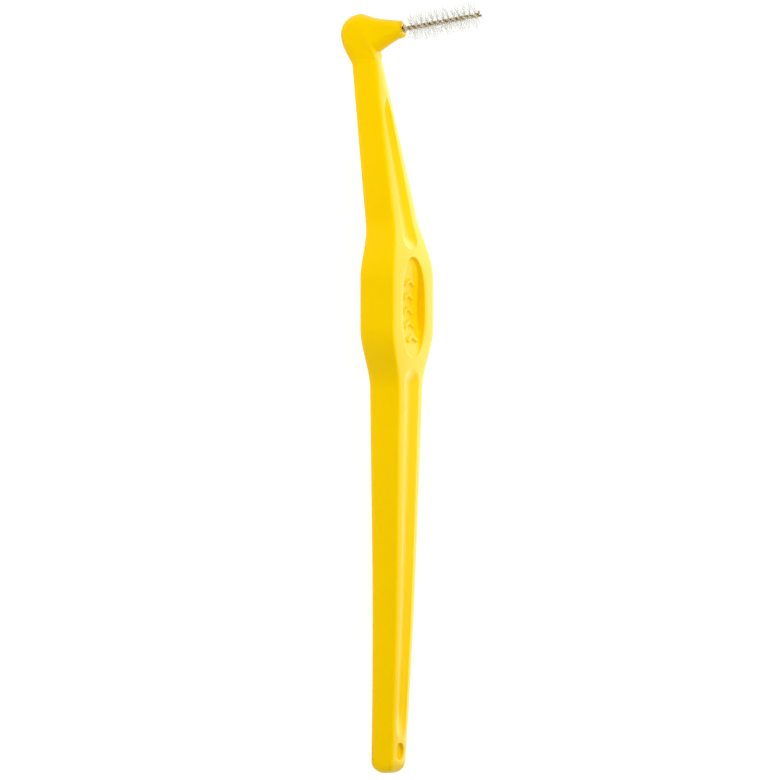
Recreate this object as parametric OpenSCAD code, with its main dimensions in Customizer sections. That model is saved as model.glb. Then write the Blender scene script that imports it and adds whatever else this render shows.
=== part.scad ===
// Interdental brush with a long bent handle.
// The handle is one moulding. A coated wire, folded in half and twisted, is set in its head,
// and the twist grips the nylon filaments. The brush lies on its back, with the filaments up.

/* [Tail and stem] */
// Width of the handle at its tail
tail_w = 5.2; // [4:0.1:7]
// Thickness of the handle at its tail
tail_t = 3.9; // [3.2:0.1:5]
// Length over which the tail end rounds off
tail_round = 1.9; // [1:0.1:3]
// How far the rounding draws the tail's faces in
tail_inset = 1.3; // [0.6:0.1:1.5]
// How far the tail curves back from the straight part of the stem
tail_sweep = 0.65; // [0:0.05:1.5]
// Length over which the tail curves back
sweep_len = 38; // [20:1:40]
// Length of the tapered stem, from the tail to the grip
stem_len = 60.5; // [45:0.5:80]
// Width of the stem where it meets the grip
stem_w = 8.7; // [7:0.1:11]
// Thickness of the stem where it meets the grip
stem_t = 5.5; // [4.5:0.1:6.5]
// Radius along the long edges of the back
edge_r = 0.8; // [0.4:0.05:1]
// Radius along the long edges of the front
front_edge_r = 0.35; // [0.2:0.05:0.8]

/* [Grip] */
// Width of the thumb grip
grip_w = 14.9; // [12:0.1:18]
// Thickness of the thumb grip
grip_t = 6.15; // [5:0.05:7]
// How far the grip stands out behind the stem
grip_bulge = 0.2; // [0:0.05:0.5]
// Length over which the stem flares out to the grip
low_flare = 9.8; // [6:0.1:14]
// Length of the grip at its full width
grip_len = 7.8; // [5:0.1:12]
// Length over which the grip narrows to the neck
high_flare = 9.5; // [8:0.5:14]

/* [Thumb recess] */
// Length of the recess in the front of the grip
recess_len = 15.6; // [12:0.1:17]
// Width of the recess
recess_w = 8; // [6:0.1:10]
// Depth of the recess in its middle
recess_depth = 1.35; // [0.8:0.05:1.8]
// How far the recess wall leans in from rim to floor
recess_lean = 0.3; // [0.1:0.05:0.6]
// Number of raised ribs on the floor of the recess
rib_count = 5; // [3:1:7]
// Width of a rib
rib_w = 0.6; // [0.4:0.1:1]
// Height of a rib above the floor
rib_h = 0.35; // [0.2:0.05:0.6]
// Length of a rib
rib_len = 3.8; // [2:0.1:4.5]
// Distance from rib to rib
rib_pitch = 2.2; // [1.6:0.1:2.4]
// Slant of the ribs across the handle
rib_slant = 24; // [0:1:40]

/* [Grooves] */
// Width of the groove in the stem, as a share of the stem's width
stem_groove_share = 0.58; // [0.35:0.01:0.6]
// Depth of the groove in the stem
stem_groove_depth = 0.6; // [0.4:0.05:1]
// Length over which the groove in the stem fades out at the tail
stem_groove_fade = 6; // [3:0.5:10]
// Width of the groove in the neck, as a share of the neck's width
neck_groove_share = 0.47; // [0.35:0.01:0.62]
// Depth of the groove in the neck
neck_groove_depth = 0.6; // [0.5:0.05:1.4]
// Distance from the upper end of the groove in the neck to the axis of the brush
neck_groove_gap = 10; // [8:0.05:13]
// Share of a groove's half width that its curved side takes
groove_curve = 0.9; // [0.4:0.05:0.95]
// Diameter of the round dimple near the tail
dimple_d = 2.7; // [1.5:0.1:3]
// Depth of the dimple
dimple_depth = 0.5; // [0.2:0.05:1]

/* [Neck] */
// Angle by which the neck leans back from the grip
neck_lean = 8.6; // [4:0.1:14]
// Length of the neck, from its bend to the axis of the brush
neck_len = 34.35; // [26:0.1:45]
// Width of the neck next to the grip
neck_root_w = 8.85; // [7:0.1:11]
// Thickness of the neck next to the grip
neck_root_t = 5.25; // [4.6:0.05:6.5]
// Width of the neck below the head
neck_top_w = 3.1; // [3:0.05:5]
// Thickness of the neck below the head
neck_top_t = 4.35; // [3.6:0.05:5.5]

/* [Head] */
// Reach of the spout in front of the neck
spout_len = 5; // [3:0.05:7]
// Diameter of the spout at its end
spout_d = 2.8; // [2:0.1:3.4]
// Radius along the edge of the spout's end
spout_round = 0.4; // [0.2:0.05:0.6]
// Diameter of the flared mouth of the hole for the wire
mouth_d = 1.4; // [1:0.1:1.6]
// Depth of the flared mouth
mouth_depth = 0.4; // [0.2:0.05:0.6]
// Height of the crown above the brush axis
head_rise = 3.6; // [2.5:0.05:4.5]
// How far the head stands out behind the neck
head_bulge = 1.25; // [0.3:0.05:1.8]
// Width of the head
head_w = 4.4; // [3.8:0.1:6]
// Depth of the inner corner below the brush axis
head_drop = 3; // [2.4:0.05:4]

/* [Wire] */
// Diameter of the steel wire
wire_d = 0.26; // [0.2:0.01:0.3]
// Thickness of the plastic coating on the wire
coat_t = 0.04; // [0.02:0.01:0.05]
// Length of one full turn of the twisted wire
twist_pitch = 1.88; // [1.5:0.02:2.4]
// Number of full turns of the twist in front of the head
open_turns = 7.4; // [7.2:0.1:8]
// Length of twisted and folded wire that is held in the head
anchor_len = 6; // [4:0.5:7]
// Slack between the twisted wire and its hole in the head
wire_fit = 0.04; // [0.02:0.01:0.1]
// Angle by which the upper cut end springs open
upper_spring = 50; // [0:5:60]
// Angle by which the lower cut end springs open
lower_spring = 15; // [0:5:60]

/* [Filaments] */
// Diameter of the brush across its filaments
brush_d = 4; // [2.5:0.1:6]
// Diameter of one nylon filament
filament_d = 0.07; // [0.05:0.01:0.08]
// Number of filaments on each side of the wire in one turn
side_count = 28; // [22:1:35]
// Slack between the filaments and the coated wire
grip_slack = 0.05; // [0.03:0.01:0.08]

/* [Hidden] */
tuft_count = 7;

// Marks along the handle, measured from the tail
grip_x = stem_len;
full_x = grip_x + low_flare;
fall_x = full_x + grip_len;
neck_x = fall_x + high_flare;
bend_share = 0.437;
bend_x = fall_x + bend_share * high_flare;
bend_half = high_flare / 3;
back_depth = spout_len + neck_top_t;
heel_share = 1.4;
heel_drop = heel_share * head_drop;
top_x = bend_x + neck_len - heel_drop;

// Centre of the spout's face, which is the root of the brush
root_x = bend_x + neck_len * cos(neck_lean) + back_depth * sin(neck_lean);
root_z = back_depth * cos(neck_lean) - neck_len * sin(neck_lean);

// Numbers of steps round and along the handle's skin
corner_steps = 5;
tail_steps = 6;
sweep_steps = 5;
flare_steps = 8;
fall_steps = 12;
head_steps = 9;
scoop_steps = 22;
side_steps = 5;
end_steps = 3;

// How far a cutter stands out of the surface that it cuts
overrun = edge_r;

// The twisted pair: each coated leg follows a helix on this radius
leg_d = wire_d + 2 * coat_t;
leg_gap = filament_d + grip_slack;
helix_r = (leg_d + leg_gap) / 2;
pair_d = 2 * leg_d + leg_gap;
bore_d = pair_d + wire_fit;
turn_rings = 8;
wire_sides = 6;
fold_steps = 6;
fold_turns = floor((anchor_len - leg_d - 2 * helix_r) / twist_pitch * turn_rings) / turn_rings;
tuft_start = (open_turns - tuft_count) / 2;
eye_spread = coat_t + leg_d / 8;
cut_share = 1.4;
cut_len = cut_share * leg_d;

function mix(a, b, t) = a + (b - a) * t;
function unit_step(t) = min(max(t, 0), 1);
function soft(t) = let (c = unit_step(t)) c * c * (3 - 2 * c);
function curve(p, q, r, s, t) =
    pow(1 - t, 3) * p + 3 * t * pow(1 - t, 2) * q + 3 * t * t * (1 - t) * r + pow(t, 3) * s;

// Width and thickness of the handle at a mark s, up to the head
function plain_width(s) =
    s < grip_x ? mix(tail_w, stem_w, s / stem_len)
    : s < neck_x ? mix(stem_w, neck_root_w, (s - grip_x) / (neck_x - grip_x))
    : mix(neck_root_w, neck_top_w, (s - neck_x) / (top_x - neck_x));
function flare(s) = soft((s - grip_x) / low_flare) * (1 - soft((s - fall_x) / high_flare));
function width_at(s) = mix(plain_width(s), grip_w, flare(s));
function thickness_at(s) =
    s < grip_x ? mix(tail_t, stem_t, s / stem_len)
    : s < fall_x ? mix(stem_t, grip_t, soft((s - grip_x) / low_flare))
    : s < neck_x ? mix(grip_t, neck_root_t, soft((s - fall_x) / high_flare))
    : mix(neck_root_t, neck_top_t, (s - neck_x) / (top_x - neck_x));

// The back of the handle curves up from the tail, runs straight, bulges a little behind the grip,
// turns by neck_lean about bend_x and runs straight again. These give its direction and its point, in the plane of symmetry, at s.
function lean_at(s) =
    s < sweep_len ? -atan(2 * tail_sweep * (sweep_len - s) / pow(sweep_len, 2))
    : neck_lean * unit_step((s - bend_x + bend_half) / (2 * bend_half));
function along(a) = [cos(a), -sin(a)];
function out(a) = [sin(a), cos(a)];
function back_at(s) =
    s < sweep_len ? [s, -tail_sweep * pow(1 - s / sweep_len, 2)]
    : s < bend_x - bend_half ? [s, -grip_bulge * flare(s)]
    : s > bend_x + bend_half ? [bend_x, -grip_bulge * flare(s)] + (s - bend_x) * along(neck_lean)
    : let (t = (s - bend_x + bend_half) / (2 * bend_half))
        [bend_x - bend_half * pow(1 - t, 2), -grip_bulge * flare(s)] + bend_half * t * t * along(neck_lean);

// A ring of the skin: a rounded rectangle from a point on the back to a point on the front,
// with its own half widths and its own radii at the back and the front corners, which take
// at most a full share of the half width and half thickness
full_share = 0.97;
function ring(back, front, back_half, front_half, back_r, front_r) =
    let (
        half_t = norm(front - back) / 2,
        dir = (front - back) / (2 * half_t),
        mid = (front + back) / 2,
        rb = min(back_r, full_share * min(half_t, back_half)),
        rf = min(front_r, full_share * min(half_t, front_half)),
        corners = [[1, 1, rf, front_half], [-1, 1, rf, front_half], [-1, -1, rb, back_half], [1, -1, rb, back_half]]
    )
    [for (c = [0:3]) for (k = [0:corner_steps])
        let (
            side = corners[c][0],
            level = corners[c][1],
            r = corners[c][2],
            a = 90 * (c + k / corner_steps),
            y = side * (corners[c][3] - r) + r * cos(a),
            h = level * (half_t - r) + r * sin(a),
            p = mid + h * dir
        )
        [p[0], y, p[1]]];

// Rings of the straight part, the bend and the neck
function body_ring(s, inset = 0) =
    let (
        back = back_at(s) + inset * out(lean_at(s)),
        front = back_at(s) + (thickness_at(s) - inset) * out(lean_at(s)),
        half = width_at(s) / 2 - inset
    )
    ring(back, front, half, half, edge_r + inset / 2, front_edge_r + inset / 2);
tail_rings = [for (k = [0:tail_steps - 1])
    let (a = 90 * (1 - k / tail_steps))
    body_ring(tail_round * (1 - sin(a)), tail_inset * (1 - cos(a)))];
body_marks = concat(
    [for (k = [0:sweep_steps]) mix(tail_round, sweep_len, k / sweep_steps)],
    [for (k = [0:flare_steps]) mix(grip_x, full_x, k / flare_steps)],
    [for (k = [0:fall_steps]) mix(fall_x, neck_x, k / fall_steps)],
    [for (k = [1:3]) mix(neck_x, top_x, k / 3)]
);

// The head's two rails, from the neck to the spout, as heights above the brush axis
// and reaches in front of the spout's end. The back rail runs over the nape and the crown.
// The front rail turns sharply at the inner corner under the spout.
half_spout = spout_d / 2;
over = [head_rise, back_depth];
reach = [head_drop, spout_len];
nape_share = 0.11;
crown_shares = [1, -0.742];
crown_in_shares = [1.05, -0.873];
crown_out_shares = [0.7, -0.475];
lip_in_shares = [0.74, -0.585];
under_shares = [-0.824, -0.729];
chin_in_shares = [-0.42, -0.253];
heel_pull_share = 0.07;
nape_pull_share = 0.58;
nape_up_share = 0.81;
corner_share = 0.89;
low_share = 0.5;
high_share = 0.3;
function scaled(shares, size) = [shares[0] * size[0], shares[1] * size[1]];
heel = [-heel_drop, -back_depth];
nape = [nape_share * head_rise, -back_depth - head_bulge];
crown = scaled(crown_shares, over);
lip = [half_spout, -spout_round];
throat = [-heel_drop, -spout_len];
corner = -reach;
under = scaled(under_shares, reach);
chin = [-half_spout, -spout_round];
low_end = mix(throat, corner, low_share);
high_end = mix(corner, under, high_share);
function top_rail(t) =
    t < 1 ? curve(heel, heel + [heel_pull_share * (nape[0] - heel[0]), 0],
        nape - [nape_pull_share * (nape[0] - heel[0]), 0], nape, t)
    : t < 2 ? curve(nape, nape + [nape_up_share * (crown[0] - nape[0]), 0],
        scaled(crown_in_shares, over), crown, t - 1)
    : curve(crown, scaled(crown_out_shares, over), scaled(lip_in_shares, over), lip, t - 2);
function low_rail(t) =
    t < 1 ? mix(throat, low_end, t)
    : t < 2 ? curve(low_end, mix(low_end, corner, corner_share), mix(high_end, corner, corner_share),
        high_end, t - 1)
    : curve(high_end, under, scaled(chin_in_shares, reach), chin, t - 2);
function from_head(p) = [root_x, root_z] + p[0] * along(neck_lean) + p[1] * out(neck_lean);

// Half widths and corner radii of the head: its back widens and rounds early, its front from
// the inner corner on
widest_t = 1.4;
front_round_t = 0.5;
back_round_share = 0.4;
function head_half_w(t) =
    t < widest_t ? mix(neck_top_w, head_w, soft(t - widest_t + 1)) / 2
    : mix(head_w, spout_d, soft((t - widest_t) / (3 - widest_t))) / 2;
function head_front_half(t) =
    t < 2 ? mix(neck_top_w / 2, head_half_w(t), soft(t - 1)) : head_half_w(t);
function head_back_r(t) =
    t < 2 ? mix(edge_r, back_round_share * head_w, soft(t))
    : mix(back_round_share * head_w, half_spout, t - 2);
function head_front_r(t) = mix(front_edge_r, full_share * head_front_half(t), soft(t - front_round_t));
function head_ring(t) =
    ring(from_head(top_rail(t)), from_head(low_rail(t)), head_half_w(t), head_front_half(t),
        head_back_r(t), head_front_r(t));
function end_ring(a) =
    let (inset = spout_round * (1 - cos(a)), ahead = spout_round * sin(a), half = half_spout - inset)
    ring(from_head(lip + [-inset, ahead]), from_head(chin + [inset, ahead]), half, half, half, half);
head_rings = concat(
    [for (k = [1:3 * head_steps]) head_ring(k / head_steps)],
    [for (k = [1:end_steps]) end_ring(90 * k / end_steps)]
);
skin = concat(tail_rings, [for (s = body_marks) body_ring(s)], head_rings);

// A solid through rings of equally many points, each with a flat end
module loft(rings) {
    n = len(rings[0]);
    last = len(rings) - 1;
    polyhedron(
        points = [for (r = rings) each r],
        faces = concat(
            [[for (i = [0:n - 1]) i]],
            [for (j = [0:last - 1]) for (i = [0:n - 1])
                let (a = j * n + i, b = j * n + (i + 1) % n)
                each [[a, a + n, b], [b, a + n, b + n]]],
            [[for (i = [n - 1:-1:0]) last * n + i]]
        )
    );
}

// A cutter for a long pocket in the front, from mark s0 to mark s1. Its ends are round over a length,
// by a power of the place. Its floor rises at each end by a ramp: the share of the depth at the very
// end, and the length of the rise. Its sides curve down over a share of the half width.
blunt_share = 0.02;
side_power = 2.2;
function swell(s, s0, s1, round_len, power) =
    let (left = 1 - unit_step(min(s - s0, s1 - s) / round_len + blunt_share))
    pow(1 - pow(left, power), 1 / power);
function ramp(near, ramp_shape) = mix(ramp_shape[0], 1, soft(near / ramp_shape[1]));
function depth_at(s, s0, s1, depth, ramps) = depth * ramp(s - s0, ramps[0]) * ramp(s1 - s, ramps[1]);
function scoop_ring(s, half, side, deep) =
    let (
        origin = back_at(s) + thickness_at(s) * out(lean_at(s)),
        slope = [for (k = [0:side_steps])
            [half - side * k / side_steps, -deep * (1 - pow(1 - k / side_steps, side_power))]],
        shape = concat(
            [[half, overrun], [-half, overrun]],
            [for (q = slope) [-q[0], q[1]]],
            [for (k = [side_steps:-1:0]) slope[k]]
        )
    )
    [for (q = shape) let (p = origin + q[1] * out(lean_at(s))) [p[0], q[0], p[1]]];
module groove(s0, s1, share, round_len, depth, ramps) {
    loft([for (k = [0:scoop_steps])
        let (
            s = mix(s0, s1, (1 - cos(180 * k / scoop_steps)) / 2),
            half = swell(s, s0, s1, round_len, 2) * share * width_at(s) / 2
        )
        scoop_ring(s, half, groove_curve * half, depth_at(s, s0, s1, depth, ramps))]);
}

// Shares of the depth at the lower and the upper end of both grooves, and their ramps
stem_end_shares = [0.1, 0.5];
neck_end_shares = [0.6, 0.1];
stem_groove_ramps = [[stem_end_shares[0], stem_groove_fade], [stem_end_shares[1], stem_w / 4]];
neck_groove_ramps = [[neck_end_shares[0], neck_root_w / 5], [neck_end_shares[1], neck_root_w / 3]];

// The oval recess in the grip, with the ribs left standing on its floor
recess_shift_share = 0.05;
recess_rise_share = 0.45;
recess_x = (full_x + fall_x) / 2 - recess_shift_share * recess_len;
recess_power = 2.35;
recess_rise = recess_rise_share * recess_len;
recess_end_shares = [0.05, 0.45];
recess_ramps = [for (share = recess_end_shares) [share, recess_rise]];
module recess() {
    s0 = recess_x - recess_len / 2;
    s1 = recess_x + recess_len / 2;
    difference() {
        loft([for (k = [0:scoop_steps])
            let (
                s = mix(s0, s1, (1 - cos(180 * k / scoop_steps)) / 2),
                open = swell(s, s0, s1, recess_len / 2, recess_power)
            )
            scoop_ring(s, open * recess_w / 2, open * recess_lean,
                depth_at(s, s0, s1, recess_depth, recess_ramps))]);
        for (k = [0:rib_count - 1]) {
            s = recess_x + (k - (rib_count - 1) / 2) * rib_pitch;
            at_front(s)
                translate([0, 0, -depth_at(s, s0, s1, recess_depth, recess_ramps)])
                    rotate([0, 0, rib_slant])
                        cube([rib_w, rib_len, 2 * rib_h], center = true);
        }
    }
}

// A place on the front of the handle at a mark s, with +Z square out of it
module at_front(s) {
    p = back_at(s) + thickness_at(s) * out(lean_at(s));
    translate([p[0], 0, p[1]])
        rotate([0, lean_at(s), 0])
            children();
}

// The handle in its own frame: tail at the origin, straight back on the XY plane, front up
groove_gap = edge_r / 2;
dimple_x = tail_round + (dimple_d + groove_gap) / 2;
module handle_shape() {
    difference() {
        loft(skin);
        groove(dimple_x + dimple_d / 2 + groove_gap, grip_x + low_flare / 3, stem_groove_share,
            stem_w / 4, stem_groove_depth, stem_groove_ramps);
        groove(bend_x, bend_x + neck_len - neck_groove_gap, neck_groove_share,
            neck_root_w / 4, neck_groove_depth, neck_groove_ramps);
        recess();
        at_front(dimple_x)
            translate([0, 0, -dimple_depth])
                cylinder(d = dimple_d, h = dimple_depth + overrun, $fn = 32);
        at_root() {
            translate([0, 0, -anchor_len])
                cylinder(d = bore_d, h = anchor_len + overrun, $fn = 32);
            translate([0, 0, -mouth_depth])
                cylinder(d1 = bore_d, d2 = mix(bore_d, mouth_d, 1 + overrun / mouth_depth),
                    h = mouth_depth + overrun, $fn = 32);
        }
    }
}

// The brush has its own frame at the root: +Z along the wire, +X up the neck
module at_root() {
    translate([root_x, 0, root_z])
        rotate([0, neck_lean, 0])
            children();
}

// The wire's path runs from one cut end, down its leg, round the fold and up the other leg.
// Each place on it is a point, a direction and the outward side, which a ring of points needs.
function outward(turns, side) = [cos(360 * turns + side), sin(360 * turns + side), 0];
function eye_r(turns) = helix_r + eye_spread * pow(sin(180 * unit_step(2 * turns)), 2);
function leg_dir(turns, side) =
    let (o = outward(turns, side), rise = twist_pitch / 360, run = helix_r * PI / 180)
    [-o[1] * run, o[0] * run, rise] / norm([run, rise]);
function leg_place(turns, side, up) =
    [eye_r(turns) * outward(turns, side) + [0, 0, turns * twist_pitch],
        up * leg_dir(turns, side), outward(turns, side)];
leg_turns = [for (k = [-fold_turns * turn_rings:open_turns * turn_rings]) k / turn_rings];
fold_z = -fold_turns * twist_pitch - leg_d;
function fold_place(a) =
    let (o = outward(-fold_turns, 0), w = cos(a) * o - [0, 0, sin(a)])
    [helix_r * w + [0, 0, fold_z], -sin(a) * o - [0, 0, cos(a)], w];
function cut_place(side, up, tilt) =
    let (
        end = leg_turns[len(leg_turns) - 1],
        last = leg_place(end, side, 1),
        dir = cos(tilt) * last[1] + sin(tilt) * last[2],
        aside = cos(tilt) * last[2] - sin(tilt) * last[1]
    )
    [last[0] + cut_len * dir, up * dir, aside];
wire_path = concat(
    [cut_place(0, -1, upper_spring)],
    [for (k = [len(leg_turns) - 1:-1:0]) leg_place(leg_turns[k], 0, -1)],
    [for (k = [0:fold_steps]) fold_place(180 * k / fold_steps)],
    [for (t = leg_turns) leg_place(t, 180, 1)],
    [cut_place(180, 1, lower_spring)]
);
function wire_ring(place, r) =
    let (across = cross(place[1], place[2]))
    [for (k = [0:wire_sides - 1])
        let (a = 360 * k / wire_sides)
        place[0] + r * cos(a) * place[2] + r * sin(a) * across];
function wire_rings(r) = [for (p = wire_path) wire_ring(p, r)];

// A tube whose inner skin is the outer skin of the piece that it covers
module tube(outer, inner) {
    n = len(outer[0]);
    rings = len(outer);
    last = (rings - 1) * n;
    depth = rings * n;
    polyhedron(
        points = concat([for (r = outer) each r], [for (r = inner) each r]),
        faces = [for (i = [0:n - 1])
            let (m = (i + 1) % n)
            each concat(
                [[i, m, depth + i], [m, depth + m, depth + i]],
                [[last + i, depth + last + i, last + m], [last + m, depth + last + i, depth + last + m]],
                [for (j = [0:rings - 2])
                    let (a = j * n + i, b = j * n + m)
                    each [[a, a + n, b], [b, a + n, b + n],
                        [depth + a, depth + b, depth + a + n], [depth + b, depth + b + n, depth + a + n]]]
            )]
    );
}

// The least distance between the two coated legs, on the points of their rings
gap_rings = [for (t = leg_turns) if (t > 1) t];
leg_least = min([for (t = gap_rings) for (d = [-1, 0, 1])
    let (
        a = wire_ring(leg_place(t, 0, 1), leg_d / 2),
        b = wire_ring(leg_place(t + d / turn_rings, 180, 1), leg_d / 2)
    )
    each [for (p = a) for (q = b) norm(p - q)]]);
echo(str("Least gap between the two coated legs, mm: ", leg_least));

// One turn of filaments: a twisted strip of their roots between the legs, and the free ends.
// A filament crosses the wire where the legs stand at right angles to it.
strip_half = pair_d / 2 - leg_d / 4;
root_half = filament_d / 2;
function strip_ring(turns) =
    let (o = outward(turns, 0), b = outward(turns, 90), z = [0, 0, turns * twist_pitch])
    [strip_half * b - root_half * o + z, -strip_half * b - root_half * o + z,
        -strip_half * b + root_half * o + z, strip_half * b + root_half * o + z];
function tip_share(i) = 0.95 + 0.05 * sin(137.5 * i);
function strand_rings(turns, side, i) =
    let (
        b = outward(turns, side),
        o = outward(turns, side + 90),
        z = [0, 0, turns * twist_pitch],
        r = root_half
    )
    [for (reach = [strip_half / 2, tip_share(i) * brush_d / 2])
        [for (k = [0:2]) reach * b + r * cos(120 * k) * [0, 0, 1] - r * sin(120 * k) * o + z]];
module tuft(number) {
    start = tuft_start + number - 1;
    color([0.95, 0.95, 0.92])
        in_place() at_root() union() {
            loft([for (k = [0:turn_rings]) strip_ring(start + k / turn_rings)]);
            for (side = [90, 270])
                for (i = [0:side_count - 1])
                    loft(strand_rings(start + (i + 0.5) / side_count, side, i + side));
        }
}

// The resting place: the part lies on the edge of its tail and on the back of its head.
// The tilt turns the lowest points of both level, and the origin is under the middle of the box.
tail_points = [for (r = tail_rings) each r];
head_points = [for (r = head_rings) each r];
function height(p, a) = p[0] * sin(a) + p[2] * cos(a);
function lowest(points, a) =
    let (least = min([for (p = points) height(p, a)]))
    [for (p = points) if (height(p, a) == least) p][0];
function level_tilt(a, tries) =
    let (tail = lowest(concat(tail_points, body_ring(tail_round)), a), head = lowest(head_points, a))
    tries == 0 ? a : level_tilt(atan((tail[2] - head[2]) / (head[0] - tail[0])), tries - 1);
rest_tilt = level_tilt(0, 5);
rest_low = height(lowest(head_points, rest_tilt), rest_tilt);
function level_x(p) = p[0] * cos(rest_tilt) - p[2] * sin(rest_tilt);
function root_point(p) =
    [root_x + p[0] * cos(neck_lean) + p[2] * sin(neck_lean), p[1],
        root_z - p[0] * sin(neck_lean) + p[2] * cos(neck_lean)];
skin_x = [for (r = skin) for (p = r) level_x(p)];
tip_x = [for (number = [1:tuft_count]) for (side = [90, 270]) for (i = [0:side_count - 1])
    for (p = strand_rings(tuft_start + number - 1 + (i + 0.5) / side_count, side, i + side)[1])
        level_x(root_point(p))];
wire_x = [for (r = wire_rings(leg_d / 2)) for (p = r) level_x(root_point(p))];
middle_x = (min(skin_x) + max(max(skin_x), max(tip_x), max(wire_x))) / 2;
module in_place() {
    translate([-middle_x, 0, -rest_low])
        rotate([0, -rest_tilt, 0])
            children();
}

module handle() {
    color([0.97, 0.82, 0.05]) in_place() handle_shape();
}

module wire() {
    color([0.62, 0.6, 0.56]) in_place() at_root() loft(wire_rings(wire_d / 2));
}

module wire_coating() {
    color([0.58, 0.42, 0.2]) in_place() at_root() tube(wire_rings(leg_d / 2), wire_rings(wire_d / 2));
}

handle();
wire();
wire_coating();
tuft(1);  // tuft_1
tuft(2);  // tuft_2
tuft(3);  // tuft_3
tuft(4);  // tuft_4
tuft(5);  // tuft_5
tuft(6);  // tuft_6
tuft(7);  // tuft_7
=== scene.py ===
"""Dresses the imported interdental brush: its moulded handle, its twisted wire and its nylon filaments."""

import math

import bpy
import numpy as np
from mathutils import Matrix, Vector


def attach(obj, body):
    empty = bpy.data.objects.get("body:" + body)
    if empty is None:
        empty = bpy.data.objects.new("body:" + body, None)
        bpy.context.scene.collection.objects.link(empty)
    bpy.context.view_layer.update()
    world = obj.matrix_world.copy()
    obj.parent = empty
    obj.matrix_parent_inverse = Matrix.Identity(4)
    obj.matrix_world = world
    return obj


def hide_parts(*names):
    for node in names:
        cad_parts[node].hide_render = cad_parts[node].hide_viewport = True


bl_info = {
    "name": "Interdental brush",
    "version": (1, 0, 0),
    "blender": (4, 5, 0),
    "location": "3D View > Sidebar > Brush",
    "description": "Builds the handle, the twisted wire and the filaments of an interdental brush",
    "category": "Add Mesh",
}

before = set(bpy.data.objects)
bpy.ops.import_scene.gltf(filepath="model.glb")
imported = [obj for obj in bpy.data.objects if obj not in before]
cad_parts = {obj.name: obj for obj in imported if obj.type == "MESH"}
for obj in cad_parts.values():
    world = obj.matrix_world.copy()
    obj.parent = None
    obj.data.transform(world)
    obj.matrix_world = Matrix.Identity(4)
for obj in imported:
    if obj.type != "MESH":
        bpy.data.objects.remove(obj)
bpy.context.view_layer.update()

MM = 0.001
# Keep divisions away from zero, for a length and for a plain number
TINY = MM / 1000
NEAR_ZERO = 1e-9

# The camera looks across the handle from this far above its side, at a target in the handle's frame
IMAGE_PIXELS = 780
PIXELS_PER_MM = 6.318
CAMERA_RAISED = math.radians(26)
CAMERA_TARGET = np.array([60.51, 0, 1.7]) * MM
CAMERA_LENS = 400

# Name, place, width, height and power of each lamp, in metres and watts
LAMPS = (
    ("top_softbox", (0.01, -0.02, 0.18), 0.2, 0.13, 0.21),
    ("back_softbox", (0.05, -0.245, 0.06), 0.32, 0.11, 0.33),
    ("side_softbox", (0.4, 0.4, 0.2), 0.4, 0.4, 1.2),
)
# Half the side of the square floor, in metres
FLOOR_HALF = 3.0


# Sizes and colours

def length(name, millimetres, description):
    """A length that a user may change, held in metres."""
    return bpy.props.FloatProperty(name=name, description=description, default=millimetres * MM,
                                   min=0, unit="LENGTH", precision=5)


def fraction(name, value, description):
    """A plain number between 0 and 1."""
    return bpy.props.FloatProperty(name=name, description=description, default=value, min=0, max=1)


def turn(name, degrees, description):
    """An angle, held in radians."""
    return bpy.props.FloatProperty(name=name, description=description, default=math.radians(degrees),
                                   subtype="ANGLE")


def number_of(name, number, description):
    """A whole number of things."""
    return bpy.props.IntProperty(name=name, description=description, default=number, min=1)


def linear(code):
    """The linear colour of an sRGB hex code."""
    shares = np.array([int(code[i:i + 2], 16) for i in (0, 2, 4)]) / 255
    low, high = shares / 12.92, ((shares + 0.055) / 1.055) ** 2.4
    return (*np.where(shares > 0.04045, high, low).tolist(), 1.0)


def colour(name, code, description):
    """A colour that a user may change."""
    return bpy.props.FloatVectorProperty(name=name, description=description, default=linear(code),
                                         size=4, min=0, max=1, subtype="COLOR")


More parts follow.
